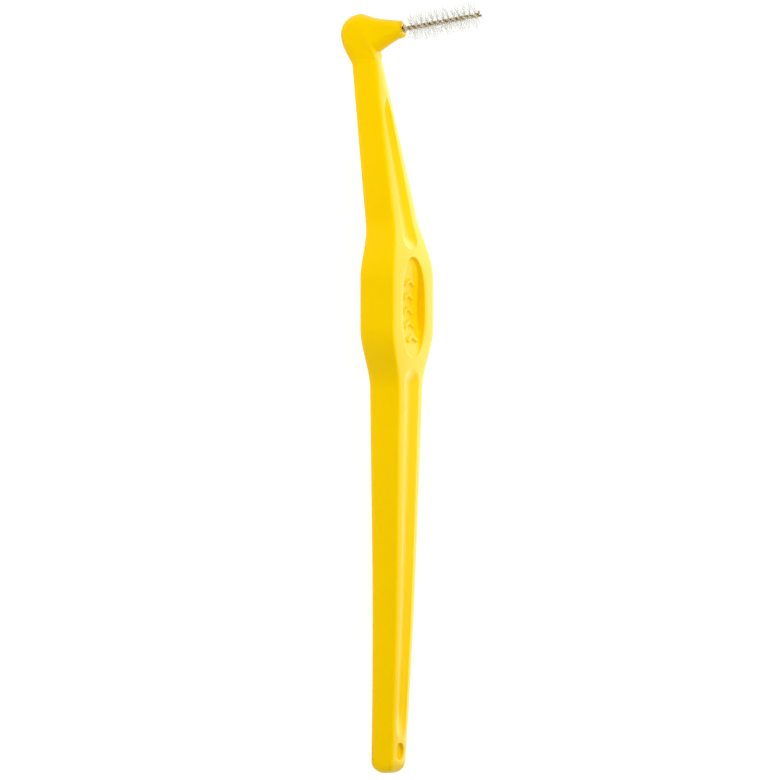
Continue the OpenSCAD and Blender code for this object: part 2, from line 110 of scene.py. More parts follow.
class HandleSizes(bpy.types.PropertyGroup):
    """The sizes of the moulded handle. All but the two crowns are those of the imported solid"""
    tail_w: length("Tail width", 5.2, "Width of the handle at its tail")
    tail_t: length("Tail thickness", 3.9, "Thickness of the handle at its tail")
    tail_round: length("Tail rounding", 1.9, "Length over which the tail end rounds off")
    tail_inset: length("Tail inset", 1.3, "How far the rounding draws the tail's faces in")
    tail_sweep: length("Tail sweep", 0.65, "How far the tail curves back from the stem")
    sweep_len: length("Sweep length", 38.0, "Length over which the tail curves back")
    stem_len: length("Stem length", 60.5, "Length of the tapered stem")
    stem_w: length("Stem width", 8.7, "Width of the stem where it meets the grip")
    stem_t: length("Stem thickness", 5.5, "Thickness of the stem where it meets the grip")
    edge_r: length("Back edge radius", 0.8, "Radius along the long edges of the back")
    front_edge_r: length("Front edge radius", 0.35, "Radius along the long edges of the front")
    front_crown: length("Front crown", 0.12, "How far the front stands up in its middle over its edges")
    side_crown: length("Side crown", 0.2, "How far the sides stand out in their middle over their edges")
    grip_w: length("Grip width", 14.9, "Width of the thumb grip")
    grip_t: length("Grip thickness", 6.15, "Thickness of the thumb grip")
    grip_bulge: length("Grip bulge", 0.2, "How far the grip stands out behind the stem")
    low_flare: length("Lower flare", 9.8, "Length over which the stem flares out to the grip")
    grip_len: length("Grip length", 7.8, "Length of the grip at its full width")
    high_flare: length("Upper flare", 9.5, "Length over which the grip narrows to the neck")
    recess_len: length("Recess length", 15.6, "Length of the recess in the grip")
    recess_w: length("Recess width", 8.0, "Width of the recess")
    recess_depth: length("Recess depth", 1.35, "Depth of the recess in its middle")
    recess_lean: length("Recess lean", 0.3, "How far the recess wall leans in")
    rib_count: number_of("Ribs", 5, "Number of raised ribs in the recess")
    rib_w: length("Rib width", 0.6, "Width of a rib")
    rib_h: length("Rib height", 0.35, "Height of a rib above the floor")
    rib_len: length("Rib length", 3.8, "Length of a rib")
    rib_pitch: length("Rib pitch", 2.2, "Distance from rib to rib")
    rib_slant: turn("Rib slant", 24.0, "Slant of the ribs across the handle")
    stem_groove_share: fraction("Stem groove", 0.58, "Width of the stem's groove, as a share of the stem's")
    stem_groove_depth: length("Stem groove depth", 0.6, "Depth of the groove in the stem")
    stem_groove_fade: length("Stem groove fade", 6.0, "Length over which the groove fades at the tail")
    neck_groove_share: fraction("Neck groove", 0.47, "Width of the neck's groove, as a share of the neck's")
    neck_groove_depth: length("Neck groove depth", 0.6, "Depth of the groove in the neck")
    neck_groove_gap: length("Neck groove gap", 10.0, "Distance from the neck's groove to the brush axis")
    groove_curve: fraction("Groove curve", 0.9, "Share of a groove's half width that its curved side takes")
    dimple_d: length("Dimple diameter", 2.7, "Diameter of the round dimple near the tail")
    dimple_depth: length("Dimple depth", 0.5, "Depth of the dimple")
    neck_lean: turn("Neck lean", 8.6, "Angle by which the neck leans back")
    neck_len: length("Neck length", 34.35, "Length of the neck, from its bend to the brush axis")
    neck_root_w: length("Neck root width", 8.85, "Width of the neck next to the grip")
    neck_root_t: length("Neck root thickness", 5.25, "Thickness of the neck next to the grip")
    neck_top_w: length("Neck top width", 3.1, "Width of the neck below the head")
    neck_top_t: length("Neck top thickness", 4.35, "Thickness of the neck below the head")
    spout_len: length("Spout length", 5.0, "Reach of the spout in front of the neck")
    spout_d: length("Spout diameter", 2.8, "Diameter of the spout at its end")
    spout_round: length("Spout rounding", 0.4, "Radius along the spout's edge")
    mouth_d: length("Mouth diameter", 1.4, "Diameter of the flared mouth of the wire's hole")
    mouth_depth: length("Mouth depth", 0.4, "Depth of the flared mouth of the wire's hole")
    head_rise: length("Head rise", 3.6, "Height of the crown above the brush axis")
    head_bulge: length("Head bulge", 1.25, "How far the head stands out behind the neck")
    head_w: length("Head width", 4.4, "Width of the head")
    head_drop: length("Head drop", 3.0, "Depth of the inner corner below the brush axis")


class BrushSizes(bpy.types.PropertyGroup):
    """The sizes of the twisted wire and its filaments"""
    wire_d: length("Wire diameter", 0.26, "Diameter of the steel wire")
    coat_t: length("Coating", 0.04, "Thickness of the plastic coating on the wire")
    twist_pitch: length("Twist pitch", 1.88, "Length of one full turn of the twist")
    open_turns: bpy.props.FloatProperty(name="Open turns", default=7.1, min=1,
                                        description="Number of turns of the twist in front of the head")
    anchor_len: length("Anchor length", 6.0, "Length of wire that is held in the head")
    wire_fit: length("Wire fit", 0.04, "Slack between the twisted wire and its hole")
    upper_spring: turn("Upper spring", 80.0, "Angle by which the upper cut end springs open")
    lower_spring: turn("Lower spring", 20.0, "Angle by which the lower cut end springs open")
    leg_gap: length("Leg gap", 0.12, "Gap between the two legs, which the filaments fill")
    brush_d: length("Brush diameter", 4.8, "Diameter of the brush across its filaments")
    filament_d: length("Filament diameter", 0.07, "Diameter of one nylon filament")
    turn_strands: number_of("Strands per side", 56, "Number of filaments on each side in one turn")
    tuft_count: number_of("Tufts", 7, "Number of turns that carry filaments")


class RestSizes(bpy.types.PropertyGroup):
    """Where the brush lies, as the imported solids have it"""
    tilt: turn("Rest tilt", 2.92183, "Angle by which the handle tips up as it lies")
    middle: length("Middle", 60.1367, "Distance from the tail to the middle of the part's box")
    low: bpy.props.FloatProperty(name="Lowest", default=-0.489013 * MM, unit="LENGTH", precision=6,
                                 description="Height of the lowest point before the brush is set down")


class BrushColours(bpy.types.PropertyGroup):
    """The colours of the brush and its stage"""
    plastic: colour("Plastic", "FED300", "Yellow of the polypropylene")
    plastic_deep: colour("Deep plastic", "F6CB00", "Yellow where the polypropylene is a little denser")
    sheen: colour("Sheen", "FFD200", "Tint of what the polypropylene mirrors square-on")
    lacquer: colour("Lacquer", "D8BC7C", "Straw colour of the coated wire")
    # This brown is painted shade in the groove between the two legs, and the colour of random pools of
    # lacquer on their backs
    lacquer_dark: colour("Dark lacquer", "7A4A14", "Brown where the lacquer has pooled")
    steel: colour("Steel", "B8B4AA", "Bare stainless steel at the cut ends")
    nylon: colour("Nylon", "F2F2EC", "Milky white of natural nylon")
    floor: colour("Floor", "E6E6E6", "Pale grey of the floor under the soft light")


# Shape helpers

def mix(a, b, t):
    """The value that lies the share t of the way from a to b."""
    return a + (b - a) * t


def soft(t):
    """Eases from 0 to 1: three t squared less two t cubed, with t held between 0 and 1."""
    held = np.clip(t, 0, 1)
    return held * held * (3 - 2 * held)


def bezier(a, b, c, d, t):
    """A cubic Bezier curve through a and d, with the handles b and c."""
    return (1 - t) ** 3 * a + 3 * t * (1 - t) ** 2 * b + 3 * t * t * (1 - t) * c + t ** 3 * d


def rounded_over(value, radius):
    """Takes the place of max(value, 0): half of value plus the root of its square plus radius squared."""
    return (value + np.sqrt(value * value + radius * radius)) / 2


def grid_faces(rows, columns, start=0):
    """Quads of a grid that closes round its columns."""
    row = np.arange(rows - 1)[:, None] * columns
    one = np.arange(columns)[None, :]
    two = (one + 1) % columns
    corners = [row + one, row + two, row + columns + two, row + columns + one]
    return np.stack(corners, axis=-1).reshape(-1, 4) + start


def fan_faces(start, columns, middle, backwards=False):
    """Triangles from the ring of points that begins at start to one point in its middle."""
    one = np.arange(columns)
    two = (one + 1) % columns
    first, second = (two, one) if backwards else (one, two)
    return np.stack([start + first, start + second, 0 * one + middle], axis=-1).tolist()


def piece(name, points, faces, material, replaced):
    """Makes a smooth mesh object from points in metres and faces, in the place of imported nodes."""
    mesh = bpy.data.meshes.new(name)
    mesh.from_pydata(points.reshape(-1, 3).tolist(), [], faces)
    mesh.validate()
    mesh.shade_smooth()
    mesh.materials.append(material)
    made = bpy.data.objects.new(name, mesh)
    bpy.context.scene.collection.objects.link(made)
    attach(made, "root")
    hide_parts(*replaced)
    return made


def at_rest(points, rest):
    """Turns points of the handle's own frame to the resting frame: a turn about Y, then a shift."""
    x, y, z = np.moveaxis(points, -1, 0)
    c, s = math.cos(rest.tilt), math.sin(rest.tilt)
    return np.stack([x * c - z * s - rest.middle, y, x * s + z * c - rest.low], axis=-1)


# The handle

class HandleForm:
    """The handle's skin as functions of the mark s along its back and of the place round it.

    All lengths are in metres, in the handle's own frame: tail at the origin, back on the XY plane."""

    # Shares of the sizes that they follow: the bend and the heel, the most that a corner's radius may
    # take, and the power by which a pocket's wall curves down
    bend_share = 0.437
    heel_share = 1.4
    full_share = 0.97
    wall_power = 2.2
    # The head's rails, in shares of its height and depth
    nape_share = 0.11
    crown_shares = [1, -0.742]
    crown_in_shares = [1.05, -0.873]
    crown_out_shares = [0.7, -0.475]
    lip_in_shares = [0.74, -0.585]
    under_shares = [-0.824, -0.729]
    chin_in_shares = [-0.42, -0.253]
    heel_pull_share = 0.07
    nape_pull_share = 0.58
    nape_up_share = 0.81
    corner_share = 0.89
    low_share = 0.5
    high_share = 0.3
    # Where the head begins to swell along its rails, how far that goes on and where it is widest
    swell_t = 0.3
    swell_len = 0.75
    widest_t = 1.4
    # Where the columns are all evenly spaced along its rails, at the latest
    even_t = 1.3
    # The round of the head's back, in shares of its width
    back_round_share = 0.4
    # Numbers of rows over the tail's rounding and along each of the head's three curves
    tail_rows = 12
    curve_rows = 31
    # Numbers of columns over a pocket's floor, beside its rim, round the front corner, up the side,
    # round the back corner and over the back
    strip_columns = (17, 5, 9, 7, 8, 6)

    def __init__(self, sizes, brush):
        for name in HandleSizes.__annotations__:
            setattr(self, name, getattr(sizes, name))
        self.full_x = self.stem_len + self.low_flare
        self.fall_x = self.full_x + self.grip_len
        self.neck_x = self.fall_x + self.high_flare
        self.bend_x = self.fall_x + self.bend_share * self.high_flare
        self.bend_half = self.high_flare / 3
        self.back_depth = self.spout_len + self.neck_top_t
        self.heel_drop = self.heel_share * self.head_drop
        self.top_x = self.bend_x + self.neck_len - self.heel_drop
        c, s = math.cos(self.neck_lean), math.sin(self.neck_lean)
        self.up, self.ahead = np.array([c, -s]), np.array([s, c])
        self.root = np.array([self.bend_x, 0]) + self.neck_len * self.up + self.back_depth * self.ahead
        self.bore_r = (2 * (brush.wire_d + 2 * brush.coat_t) + brush.leg_gap + brush.wire_fit) / 2
        self.bore_len = brush.anchor_len
        self.pockets = self.make_pockets()
        self.make_rim_table()

    def flare(self, s):
        """From 0 on the stem and neck to 1 on the grip, eased on both sides."""
        return soft((s - self.stem_len) / self.low_flare) * (1 - soft((s - self.fall_x) / self.high_flare))

    def taper(self, s, tail, stem, root, top):
        """Straight lines between the sizes at the tail, the stem's end, the neck's root and its top, with
        the neck's line carried on. The mean of nine places near the mark rounds its corners."""
        marks = [0, self.stem_len, self.neck_x, self.top_x, 2 * self.top_x]
        sizes = [tail, stem, root, top, top - (root - top) / (self.top_x - self.neck_x) * self.top_x]
        near = [s + k * self.edge_r for k in np.linspace(-2, 2, 9)]
        return np.mean([np.interp(place, marks, sizes) for place in near], axis=0)

    def width(self, s):
        """The taper of the stem and neck, and the grip's two eased flares."""
        plain = self.taper(s, self.tail_w, self.stem_w, self.neck_root_w, self.neck_top_w)
        return mix(plain, self.grip_w, self.flare(s))

    def thickness(self, s):
        """The taper of the stem and neck, with eased steps to the grip's thickness."""
        plain = self.taper(s, self.tail_t, self.stem_t, self.neck_root_t, self.neck_top_t)
        return mix(plain, self.grip_t, self.flare(s))

    def inset(self, s):
        """A quarter of an ellipse that draws the skin in over the tail's rounding."""
        left = np.clip(1 - s / self.tail_round, 0, 1)
        return self.tail_inset * (1 - np.sqrt(1 - left * left))

    def lean(self, s):
        """The slope of the back: a parabola at the tail, then straight, then an even turn to the neck."""
        tail = -np.arctan(2 * self.tail_sweep * np.clip(self.sweep_len - s, 0, None) / self.sweep_len ** 2)
        return tail + self.neck_lean * self.turned(s)

    def turned(self, s):
        """How much of the bend lies behind a mark: an even rise from 0 to 1."""
        return np.clip((s - self.bend_x + self.bend_half) / (2 * self.bend_half), 0, 1)

    def back(self, s):
        """The line of the back in the plane of symmetry: parabola, straight, quadratic curve, straight,
        with a small bulge behind the grip."""
        swept = self.tail_sweep * np.clip(1 - s / self.sweep_len, 0, None) ** 2
        level = -swept - self.grip_bulge * self.flare(s)
        t = self.turned(s)
        beyond = np.clip(s - self.bend_x - self.bend_half, 0, None)
        before = np.minimum(s, self.bend_x - self.bend_half)
        up_neck = self.bend_half * t * t + beyond
        plain = before + self.bend_half * (1 - (1 - t) ** 2)
        return np.stack([plain + up_neck * self.up[0], level + up_neck * self.up[1]], axis=-1)

    def outward(self, s):
        """The direction square to the back at a mark: the sine and the cosine of its lean."""
        return np.stack([np.sin(self.lean(s)), np.cos(self.lean(s))], axis=-1)

    def flat_half(self, s):
        """Half the flat width of the front, between its two rounded edges."""
        return self.width(s) / 2 - self.inset(s) - self.edge_radius(s, self.front_edge_r)

    def edge_radius(self, s, plain):
        """A long edge's radius: half the inset wider at the tail, and never a full half of the section."""
        inset = self.inset(s)
        most = self.full_share * np.minimum(self.thickness(s) / 2 - inset, self.width(s) / 2 - inset)
        return np.minimum(plain + inset / 2, most)

    def make_pockets(self):
        """The pockets in the front: dimple, stem groove, thumb recess and neck groove.

        Each has its two end marks s0 and s1, the length of its rounded ends and the power of their
        oval, its half width and wall as functions of the mark, the radius of its rim's lip and the
        depth of its floor. A ramp holds the share of the depth at the pocket's very end and the length
        of the rise. The margins are the widths over which the grid settles before it, behind it and
        beside it, and the step is the distance of the rows, at its ends only or all along it."""
        gap = self.edge_r / 2
        near = 0.6 * self.edge_r
        dimple_r = self.dimple_d / 2
        dimple_x = self.tail_round + (self.dimple_d + gap) / 2
        half_recess = self.recess_len / 2
        recess_rise = 0.45 * self.recess_len
        self.recess_x = (self.full_x + self.fall_x) / 2 - self.recess_len / 20

        def pocket(s0, s1, end, half, wall, depth, ramps, margins, step, power=2, ribs=0):
            """A pocket whose half width and wall are the same at all marks."""
            return dict(s0=s0, s1=s1, end=end, power=power, half=lambda s: 0 * s + half,
                        wall=lambda s: 0 * s + wall, lip=self.edge_r / 16, depth=depth, ramps=ramps,
                        margins=margins, step=step, only_ends=False, ribs=ribs)

        def groove(s0, s1, end, share, depth, ramps, margins):
            """A pocket whose half width is a share of the handle's at each mark."""
            def half(s):
                return share * self.width(s) / 2
            return dict(s0=s0, s1=s1, end=end, power=2, half=half,
                        wall=lambda s: self.groove_curve * half(s), lip=self.edge_r / 14, depth=depth,
                        ramps=ramps, margins=margins, step=self.stem_w / 50, only_ends=True, ribs=0)

        return [
            pocket(dimple_x - dimple_r, dimple_x + dimple_r, dimple_r, dimple_r, dimple_r / 8,
                   self.dimple_depth, ((1, gap), (1, gap)), (gap / 2, gap / 2, near), dimple_r / 10),
            groove(dimple_x + dimple_r + gap, self.stem_len + self.low_flare / 3, self.stem_w / 4,
                   self.stem_groove_share, self.stem_groove_depth,
                   ((0.1, self.stem_groove_fade), (0.5, self.stem_w / 4)), (gap / 2, near, near)),
            pocket(self.recess_x - half_recess, self.recess_x + half_recess, half_recess,
                   self.recess_w / 2, self.recess_lean, self.recess_depth,
                   ((0.05, recess_rise), (0.45, recess_rise)),
                   (1.5 * self.edge_r, self.edge_r, 1.5 * self.edge_r), self.rib_w / 5,
                   power=2.35, ribs=self.rib_count),
            groove(self.bend_x, self.bend_x + self.neck_len - self.neck_groove_gap, self.neck_root_w / 4,
                   self.neck_groove_share, self.neck_groove_depth,
                   ((0.6, self.neck_root_w / 5), (0.1, self.neck_root_w / 3)), (near, near, near)),
        ]

    def make_rim_table(self):
        """Half widths of the pockets' rims, walls and lips at all marks, with straight lines between."""
        flat_share = 0.6
        marks, rims = [0.0], [flat_share * float(self.flat_half(np.array(0.0)))]
        walls, lips = [0.0], [0.0]
        for pocket in self.pockets:
            inside = np.linspace(pocket["s0"], pocket["s1"], 200)
            marks.extend(inside)
            rims.extend(pocket["half"](inside))
            walls.extend(pocket["wall"](inside))
            lips.extend(0 * inside + pocket["lip"])
        marks.append(self.top_x)
        rims.append(flat_share * float(self.flat_half(np.array(self.top_x))))
        for values in (walls, lips):
            values[0] = values[1]
            values.append(values[-1])
        self.rim_table = marks, rims, walls, lips

    def rim(self, s):
        """Half the width of a pocket at its rim."""
        return np.interp(s, self.rim_table[0], self.rim_table[1])

    def wall(self, s):
        """How far a pocket's wall leans in from its rim to its floor."""
        return np.interp(s, self.rim_table[0], self.rim_table[2])

    def lip(self, s):
        """Radius of the small round along a pocket's rim."""
        return np.interp(s, self.rim_table[0], self.rim_table[3])

    def rim_lines(self, s):
        """How far inside the rim each grid line lies that follows a pocket's wall at the marks s."""
        s = np.atleast_1d(s)[:, None]
        over = np.array([-3, -1.5, -0.6]) * self.lip(s)
        down = np.array([0, 0.06, 0.14, 0.24, 0.35, 0.48, 0.64, 0.82, 1]) * self.wall(s)
        return np.concatenate([over, down], axis=1)

    def pocket_place(self, pocket, s, y):
        """Bends the straight grid lines round a pocket, and sinks what lies inside its rim.

        A line that is a rectangle on the straight grid becomes a long oval, by the factor
        (u^n + v^n)^(-1/n) on the place u, v in the pocket's rounded end. Depth follows the distance
        inside the rim: one less a power of what is left of the wall, rounded over at the rim. Outside,
        the distance is (r - 1) over the slope of r, where r is the root (u^n + v^n)^(1/n)."""
        centre, half_len = (pocket["s0"] + pocket["s1"]) / 2, (pocket["s1"] - pocket["s0"]) / 2
        end = pocket["end"]
        first, last, aside = pocket["margins"]
        rim, wall = self.rim(s), self.wall(s)
        side = np.sign(s - centre)
        run = np.abs(s - centre) - (half_len - end)
        past_x, past_y = run - end, np.abs(y) - rim
        room = np.where(side < 0, first, last)
        outside = np.clip(np.maximum(past_x / room, past_y / aside), 0, None)
        inside = np.maximum(past_x, past_y)
        u_size = end + np.where(outside > 0, outside * room, inside)
        v_size = rim + np.where(outside > 0, outside * aside, inside)
        fade = 0.8 * np.minimum(end, rim)
        weight = np.where(outside > 0, 1 - soft(outside), 1 - soft((-inside - wall) / fade))
        u = np.clip(run, 0, None) / np.maximum(u_size, TINY)
        v = np.abs(y) / np.maximum(v_size, TINY)
        n = pocket["power"]
        factor = np.maximum(u ** n + v ** n, NEAR_ZERO) ** (-1 / n)
        factor = np.where((run > 0) & (weight > 0), mix(1, factor, weight), 1)
        new_s = np.where(run > 0, centre + side * (half_len - end + run * factor), s)
        new_y = np.where(run > 0, y * factor, y)
        u = np.clip(np.abs(new_s - centre) - (half_len - end), 0, None) / end
        v = np.abs(new_y) / rim
        r = np.maximum(u ** n + v ** n, NEAR_ZERO) ** (1 / n)
        slope_of_r = np.hypot(u ** (n - 1) / end, v ** (n - 1) / rim) * r ** (1 - n)
        far = np.clip((r - 1) / np.maximum(slope_of_r, NEAR_ZERO), 0, None)
        left = np.clip(1 + inside / wall, 0, 1)
        slope = np.where(inside < 0, 1 - left ** self.wall_power, -self.wall_power * far / wall)
        depth = self.floor_depth(pocket, new_s, new_y) * rounded_over(slope, 1.5 * pocket["lip"] / wall)
        return new_s, new_y, np.where(outside < 1, depth, 0) * (1 - soft(outside))

    def floor_depth(self, pocket, s, y):
        """How deep a pocket's floor lies: rising at its ends, and with ribs in the recess."""
        depth = pocket["depth"]
        for (start, reach), near in zip(pocket["ramps"], (s - pocket["s0"], pocket["s1"] - s)):
            depth = depth * mix(start, 1, soft(near / reach))
        edge = self.rib_w / 5
        c, d = math.cos(self.rib_slant), math.sin(self.rib_slant)
        for k in range(pocket["ribs"]):
            dx = s - self.recess_x - (k - (self.rib_count - 1) / 2) * self.rib_pitch
            across, along = np.abs(dx * c + y * d), np.abs(y * c - dx * d)
            rib = soft((self.rib_w / 2 + edge - across) / (2 * edge)) * \
                soft((self.rib_len / 2 + edge - along) / (2 * edge))
            depth = depth - np.minimum(self.rib_h, depth) * rib
        return depth

    def body_marks(self):
        """Marks of the rows, close together at the ends of pockets and on curves.

        The sum of the table's distances over the wished steps gives whole numbers at the marks."""
        table = np.linspace(self.tail_round, self.top_x, 6000)
        plain_step, curved_step = self.stem_w / 11, self.stem_w / 26
        curved = (table > self.stem_len) & (table < self.neck_x + self.edge_r)
        step = np.where(curved, curved_step, plain_step)
        for pocket in self.pockets:
            close = (table > pocket["s0"]) & (table < pocket["s1"])
            if pocket["only_ends"]:
                to_ends = np.minimum(np.abs(table - pocket["s0"]), np.abs(table - pocket["s1"]))
                close = to_ends < pocket["end"]
            step[close] = np.minimum(step[close], pocket["step"])
        run = np.concatenate([[0], np.cumsum(np.diff(table) / step[1:])])
        plain = np.interp(np.linspace(0, run[-1], int(run[-1]) + 1), run, table)
        special = np.sort(np.concatenate([
            np.concatenate([p["s0"] + self.rim_lines(p["s0"])[0], p["s1"] - self.rim_lines(p["s1"])[0]])
            for p in self.pockets]))
        distance = np.min(np.abs(plain[:, None] - special[None, :]), axis=1)
        keep = distance > 0.5 * np.interp(plain, table, step)
        keep[0] = keep[-1] = True
        inner = [s for s in special if s > self.tail_round]
        return np.sort(np.concatenate([plain[keep], inner]))

    def rails(self, t):
        """The head's back and front lines, above the brush axis and ahead of the spout's end.

        The back line is three Bezier curves: heel to nape, nape to crown, crown to lip. The front
        line runs straight up the neck, turns sharply at the inner corner and curves on to the chin."""
        half = self.spout_d / 2
        over = np.array([self.head_rise, self.back_depth])
        reach = np.array([self.head_drop, self.spout_len])
        heel = np.array([-self.heel_drop, -self.back_depth])
        nape = np.array([self.nape_share * self.head_rise, -self.back_depth - self.head_bulge])
        crown = over * self.crown_shares
        lip, chin = np.array([half, -self.spout_round]), np.array([-half, -self.spout_round])
        throat = np.array([-self.heel_drop, -self.spout_len])
        corner, under = -reach, reach * self.under_shares
        rise, above = nape[0] - heel[0], crown[0] - nape[0]
        low, high = mix(throat, corner, self.low_share), mix(corner, under, self.high_share)
        t = t[:, None]
        first, second = t < 1, t < 2
        back = np.select([first, second], [
            bezier(heel, heel + [self.heel_pull_share * rise, 0], nape - [self.nape_pull_share * rise, 0],
                   nape, t),
            bezier(nape, nape + [self.nape_up_share * above, 0], over * self.crown_in_shares,
                   crown, t - 1)],
            bezier(crown, over * self.crown_out_shares, over * self.lip_in_shares, lip, t - 2))
        front = np.select([first, second], [
            mix(throat, low, t),
            bezier(low, mix(low, corner, self.corner_share), mix(high, corner, self.corner_share),
                   high, t - 1)],
            bezier(high, under, reach * self.chin_in_shares, chin, t - 2))
        return back, front

    def from_head(self, p):
        """A place above the brush axis and ahead of the spout's face, in the handle's plane."""
        return self.root + p[:, :1] * self.up + p[:, 1:] * self.ahead

    def rows(self):
        """Back and front point, half widths at the back and the front, and radii there, of every ring."""
        tail_turn = np.radians(np.linspace(90, 0, self.tail_rows))[:-1]
        tail = self.tail_round * (1 - np.sin(tail_turn))
        self.body_s = np.concatenate([tail, self.body_marks()])
        s = self.body_s
        inset = self.inset(s)
        back = self.back(s) + inset[:, None] * self.outward(s)
        front = self.back(s) + (self.thickness(s) - inset)[:, None] * self.outward(s)
        half = self.width(s) / 2 - inset
        t = np.linspace(0, 3, 3 * self.curve_rows + 1)[1:]
        t_back, t_front = self.rails(t)
        # The head swells from the neck to its widest, narrows to the spout and grows round
        swell = soft((t - self.swell_t) / self.swell_len)
        narrow = soft((t - self.widest_t) / (3 - self.widest_t))
        head_half = np.where(t < self.widest_t, mix(self.neck_top_w, self.head_w, swell),
                             mix(self.head_w, self.spout_d, narrow)) / 2
        back_round = self.back_round_share * self.head_w
        head_back_r = np.where(t < 2, mix(self.edge_r, back_round, soft(t)),
                               mix(back_round, self.spout_d / 2, t - 2))
        head_front = np.where(t < 2, mix(self.neck_top_w / 2, head_half, soft(t - 1)), head_half)
        head_front_r = mix(self.front_edge_r, self.full_share * head_front, soft(t - 1))
        # The spout's rounded edge, its face, the flared mouth of the hole and the hole
        a = np.radians(np.linspace(0, 90, 9))
        spout_r, mouth_r, soft_edge = self.spout_d / 2, self.mouth_d / 2, self.spout_round
        radii = np.concatenate([
            spout_r - soft_edge * (1 - np.cos(a[1:])),
            np.linspace(spout_r - soft_edge, mouth_r, 3)[1:],
            self.bore_r + (mouth_r - self.bore_r) * (1 - np.sin(a[1:])),
            [self.bore_r] * 3])
        depths = np.concatenate([
            -soft_edge * (1 - np.sin(a[1:])), np.zeros(2), -self.mouth_depth * (1 - np.cos(a[1:])),
            -self.bore_len * np.array([0.15, 0.5, 1.0])])
        face_back = np.stack([radii, depths], axis=-1)
        face_front = np.stack([-radii, depths], axis=-1)
        self.head_t = np.concatenate([0 * s, t, 0 * radii + 3])
        back = np.concatenate([back, self.from_head(t_back), self.from_head(face_back)])
        front = np.concatenate([front, self.from_head(t_front), self.from_head(face_front)])
        back_half = np.concatenate([half, head_half, radii])
        front_half = np.concatenate([half, head_front, radii])
        back_r = np.concatenate([self.edge_radius(s, self.edge_r), head_back_r, radii])
        front_r = np.concatenate([self.edge_radius(s, self.front_edge_r), head_front_r, radii])
        return back, front, back_half, front_half, back_r, front_r

    def ring_marks(self, half_t, back_half, front_half, back_r, front_r):
        """Lengths along half a ring, from the middle of its front to the ends of the flat front,
        the front corner, the side, the back corner and the flat back."""
        parts = [front_half - front_r, front_r * math.pi / 2,
                 np.hypot(2 * half_t - front_r - back_r, back_half - front_half),
                 back_r * math.pi / 2, back_half - back_r]
        return np.cumsum(parts, axis=0)

    def column_shares(self, marks):
        """Where the columns lie on half a ring, as lengths from the middle of the front.

        On the body they follow the pockets' rims, walls and the rounded edges. On the head
        they are evenly spaced, with a slow change between the two."""
        flat, corner_end, side_end, back_end, whole = marks
        s = np.concatenate([self.body_s, np.full(len(flat) - len(self.body_s), self.top_x)])
        rim, wall, lip = self.rim(s), self.wall(s), self.lip(s)
        # Where the flat front is narrow, the rim's lines keep within this share of it
        rim_share = 0.7
        fit = np.minimum(1, rim_share * flat / np.maximum(rim, TINY))
        rim, wall, lip = rim * fit, wall * fit, lip * fit
        lines = self.rim_lines(s)[:, ::-1] * fit[:, None]

        def between(start, end, number):
            """Even steps from start to end, in every row."""
            return start[:, None] + np.linspace(0, 1, number) * (end - start)[:, None]

        floor, beside, corner, side, back_corner, back = self.strip_columns
        front = np.concatenate([between(0 * flat, rim - wall, floor)[:, :-1], rim[:, None] - lines,
                                between(rim + 3 * lip, flat, beside)[:, 1:-1]], axis=1)
        self.front_columns = front.shape[1]
        body = np.concatenate([
            front, between(flat, corner_end, corner), between(corner_end, side_end, side)[:, 1:-1],
            between(side_end, back_end, back_corner), between(back_end, whole, back)[:, 1:]], axis=1)
        even = np.linspace(0, 1, body.shape[1]) * whole[:, None]
        neck = soft((s - self.pockets[-1]["s1"] - self.edge_r) / (2 * self.heel_drop))
        head = soft(self.head_t / self.even_t)
        return mix(body, even, np.clip(neck + head, 0, 1)[:, None])

    def half_ring(self, run, marks, half_t, back_half, front_half, back_r, front_r):
        """Across and up on a rounded rectangle, at a length from the middle of its front."""
        one, two, three, four, _ = (v[:, None] for v in marks)
        half_t, back_half, front_half, back_r, front_r = (
            v[:, None] for v in (half_t, back_half, front_half, back_r, front_r))
        front_a, back_a, side = (run - one) / front_r, (run - three) / back_r, (run - two) / (three - two)
        choices = [run <= one, run <= two, run <= three, run <= four]
        y = np.select(choices, [run, one + front_r * np.sin(front_a), mix(front_half, back_half, side),
                                back_half - back_r + back_r * np.cos(back_a)],
                      back_half - back_r - (run - four))
        z = np.select(choices, [half_t + 0 * run, half_t - front_r + front_r * np.cos(front_a),
                                mix(half_t - front_r, back_r - half_t, side),
                                back_r - half_t - back_r * np.sin(back_a)], -half_t + 0 * run)
        return y, z

    def points(self):
        """All points of the skin, row by row, round each ring from the middle of its front.

        The front stands up by its crown times a third less the square of the place across it, and the
        sides stand out by theirs times a half less the square of the place up them. Both crowns fade
        out over the head's first curve. The left half is the right half mirrored."""
        back, front, back_half, front_half, back_r, front_r = self.rows()
        across = front - back
        half_t = np.linalg.norm(across, axis=1) / 2
        nearly = 1 - 1e-6
        back_r = np.minimum(back_r, nearly * np.minimum(half_t, back_half))
        front_r = np.minimum(front_r, nearly * np.minimum(half_t, front_half))
        ring = half_t, back_half, front_half, back_r, front_r
        marks = self.ring_marks(*ring)
        y, z = self.half_ring(self.column_shares(marks), marks, *ring)
        middle, direction = (front + back) / 2, across / (2 * half_t)[:, None]
        plane = middle[:, None, :] + z[..., None] * direction[:, None, :]
